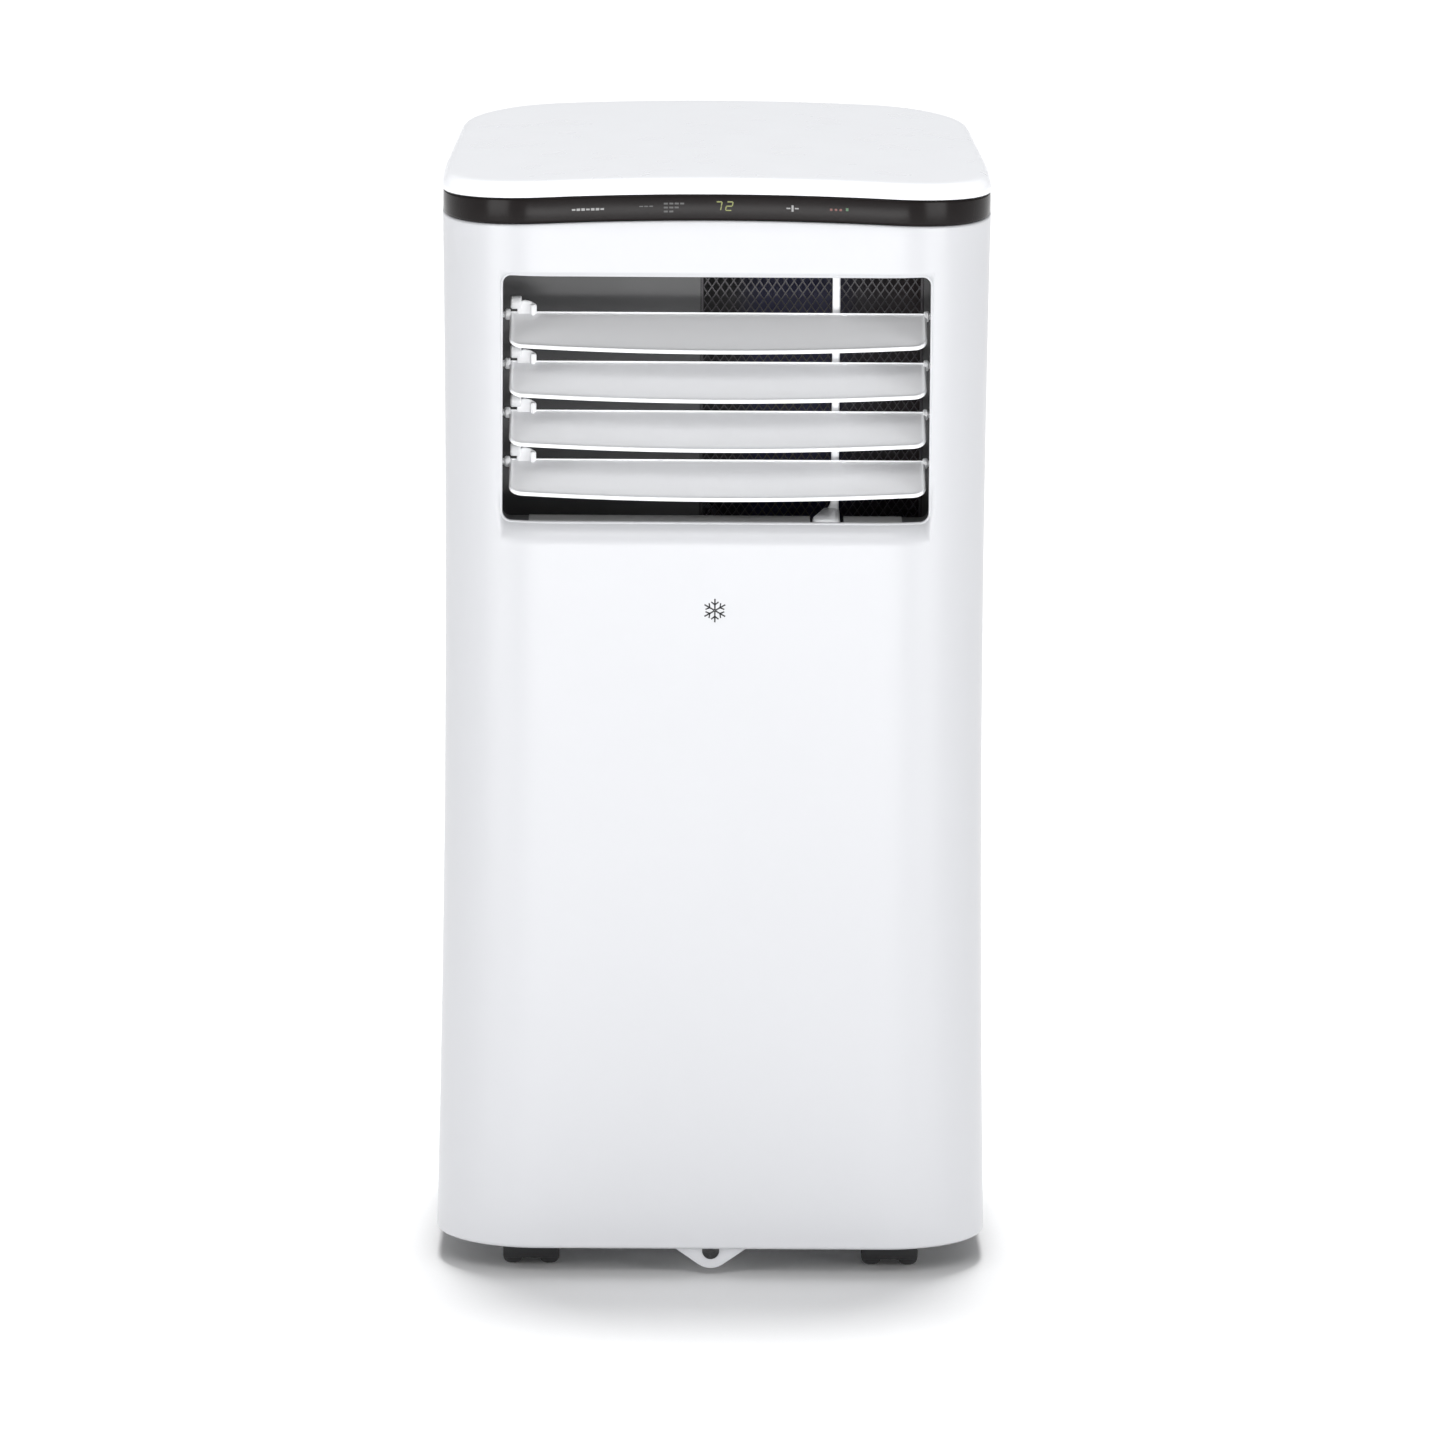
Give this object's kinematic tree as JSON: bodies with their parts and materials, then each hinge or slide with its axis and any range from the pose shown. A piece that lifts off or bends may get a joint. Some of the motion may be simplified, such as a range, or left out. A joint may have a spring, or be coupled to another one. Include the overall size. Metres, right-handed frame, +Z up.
{
  "type": "portable air conditioner",
  "caption": "Free-standing air conditioner: rounded white casing, dark control band, ganged outlet louvres, tilt-out rear filter, exhaust collar and swivel casters.",
  "frame": {"origin": "on the floor, under the centre of the overall box", "axes": "+Z up, the louvred front faces -Y, +X to the right seen from behind the origin looking along +Y"},
  "size_m": [0.3516, 0.345, 0.71],
  "materials": {
    "white_plastic": "satin white ABS",
    "lid_plastic": "satin bright white ABS",
    "black_gloss": "gloss black acrylic strip",
    "duct_plastic": "moulded dark grey",
    "guard_plastic": "moulded black lattice",
    "blade_plastic": "satin white ABS",
    "circuit_board": "solder-masked board",
    "grey_plastic": "moulded light grey",
    "foam_white": "moulded white foam and plastic",
    "impeller_plastic": "moulded dark grey",
    "motor_steel": "pressed steel can",
    "coil_blue": "blue hydrophilic coated fins",
    "coil_aluminium": "bare aluminium fins",
    "compressor_black": "black painted shell",
    "copper": "drawn copper tube",
    "zinc_steel": "zinc plated sheet",
    "filter_net": "dark net in a moulded frame",
    "caster_black": "moulded black nylon",
    "rubber_black": "black rubber",
    "screw_dark": "black zinc"
  },
  "bodies": {
    "casing": {"front_panel": "white_plastic", "rear_panel": "white_plastic", "top_cover": "lid_plastic", "control_bezel": "black_gloss", "control_board": "circuit_board", "handle_cup_left": "grey_plastic", "handle_cup_right": "grey_plastic", "base_pan": "white_plastic", "lug_screw": "screw_dark", "outlet_duct": "duct_plastic", "outlet_guard": "guard_plastic", "louvre_motor": "grey_plastic", "upper_blower_housing": "duct_plastic", "upper_fan_motor": "motor_steel", "lower_blower_housing": "foam_white", "lower_fan_motor": "motor_steel", "partition_tray": "foam_white", "evaporator_coil": "coil_blue", "condenser_coil": "coil_aluminium", "compressor": "compressor_black", "suction_pipe": "copper", "discharge_pipe": "copper", "electrical_box": "zinc_steel", "run_capacitor": "zinc_steel", "lower_grille": "white_plastic", "exhaust_collar": "duct_plastic", "exhaust_guard": "guard_plastic", "cord_gland": "rubber_black", "rear_screw_1": "screw_dark", "rear_screw_2": "screw_dark", "rear_screw_3": "screw_dark", "rear_screw_4": "screw_dark"},
    "louvre_1": {"louvre_blade_1": "blade_plastic"},
    "louvre_2": {"louvre_blade_2": "blade_plastic"},
    "louvre_3": {"louvre_blade_3": "blade_plastic"},
    "louvre_4": {"louvre_blade_4": "blade_plastic"},
    "pull_rod": {"louvre_pull_rod": "blade_plastic"},
    "upper_fan": {"upper_blower_wheel": "impeller_plastic"},
    "lower_fan": {"lower_blower_wheel": "impeller_plastic"},
    "filter_panel": {"filter_grille": "white_plastic", "filter_screen": "filter_net"},
    "lower_plug": {"lower_drain_plug": "rubber_black"},
    "upper_plug": {"upper_drain_plug": "rubber_black"},
    "swivel_front_left": {"caster_fork_front_left": "caster_black"},
    "wheels_front_left": {"caster_wheels_front_left": "caster_black"},
    "swivel_front_right": {"caster_fork_front_right": "caster_black"},
    "wheels_front_right": {"caster_wheels_front_right": "caster_black"},
    "swivel_rear_left": {"caster_fork_rear_left": "caster_black"},
    "wheels_rear_left": {"caster_wheels_rear_left": "caster_black"},
    "swivel_rear_right": {"caster_fork_rear_right": "caster_black"},
    "wheels_rear_right": {"caster_wheels_rear_right": "caster_black"}
  },
  "joints": [
    {"name": "louvre_1_tilt", "type": "hinge", "parent": "casing", "child": "louvre_1", "pos_m": [0, -0.1325, 0.6166], "axis": [1, 0, 0], "range_deg": [-40, 15]},
    {"name": "louvre_2_tilt", "type": "hinge", "parent": "casing", "child": "louvre_2", "pos_m": [0, -0.1325, 0.5851], "axis": [1, 0, 0], "range_deg": [-40, 15]},
    {"name": "louvre_3_tilt", "type": "hinge", "parent": "casing", "child": "louvre_3", "pos_m": [0, -0.1325, 0.5536], "axis": [1, 0, 0], "range_deg": [-40, 15]},
    {"name": "louvre_4_tilt", "type": "hinge", "parent": "casing", "child": "louvre_4", "pos_m": [0, -0.1325, 0.5221], "axis": [1, 0, 0], "range_deg": [-40, 15]},
    {"name": "pull_rod_pin", "type": "hinge", "parent": "louvre_1", "child": "pull_rod", "pos_m": [0, -0.1225, 0.6136], "axis": [1, 0, 0], "range_deg": [-15, 40]},
    {"name": "upper_fan_spin", "type": "hinge", "parent": "casing", "child": "upper_fan", "pos_m": [-0.04, -0.05735, 0.432], "axis": [0, 1, 0], "continuous": true},
    {"name": "lower_fan_spin", "type": "hinge", "parent": "casing", "child": "lower_fan", "pos_m": [0.055, 0.065, 0.15], "axis": [0, 1, 0], "continuous": true},
    {"name": "filter_panel_tilt", "type": "hinge", "parent": "casing", "child": "filter_panel", "pos_m": [0, 0.1715, 0.409], "axis": [-1, 0, 0], "range_deg": [0, 60]},
    {"name": "lower_plug_pull", "type": "slide", "parent": "casing", "child": "lower_plug", "axis": [0, 1, 0], "range_m": [0, 0.02]},
    {"name": "upper_plug_pull", "type": "slide", "parent": "casing", "child": "upper_plug", "axis": [0, 1, 0], "range_m": [0, 0.02]},
    {"name": "caster_swivel_front_left", "type": "hinge", "parent": "casing", "child": "swivel_front_left", "pos_m": [-0.115, -0.118, 0.05], "axis": [0, 0, 1], "continuous": true},
    {"name": "caster_roll_front_left", "type": "hinge", "parent": "swivel_front_left", "child": "wheels_front_left", "pos_m": [-0.115, -0.131, 0.02], "axis": [1, 0, 0], "continuous": true},
    {"name": "caster_swivel_front_right", "type": "hinge", "parent": "casing", "child": "swivel_front_right", "pos_m": [0.115, -0.118, 0.05], "axis": [0, 0, 1], "continuous": true},
    {"name": "caster_roll_front_right", "type": "hinge", "parent": "swivel_front_right", "child": "wheels_front_right", "pos_m": [0.115, -0.131, 0.02], "axis": [1, 0, 0], "continuous": true},
    {"name": "caster_swivel_rear_left", "type": "hinge", "parent": "casing", "child": "swivel_rear_left", "pos_m": [-0.11, 0.112, 0.05], "axis": [0, 0, 1], "continuous": true},
    {"name": "caster_roll_rear_left", "type": "hinge", "parent": "swivel_rear_left", "child": "wheels_rear_left", "pos_m": [-0.11, 0.099, 0.02], "axis": [1, 0, 0], "continuous": true},
    {"name": "caster_swivel_rear_right", "type": "hinge", "parent": "casing", "child": "swivel_rear_right", "pos_m": [0.11, 0.112, 0.05], "axis": [0, 0, 1], "continuous": true},
    {"name": "caster_roll_rear_right", "type": "hinge", "parent": "swivel_rear_right", "child": "wheels_rear_right", "pos_m": [0.11, 0.099, 0.02], "axis": [1, 0, 0], "continuous": true}
  ],
  "couplings": [
    {"joint": "louvre_2_tilt", "follows": "louvre_1_tilt", "ratio": 1},
    {"joint": "louvre_3_tilt", "follows": "louvre_1_tilt", "ratio": 1},
    {"joint": "louvre_4_tilt", "follows": "louvre_1_tilt", "ratio": 1},
    {"joint": "pull_rod_pin", "follows": "louvre_1_tilt", "ratio": -1}
  ]
}
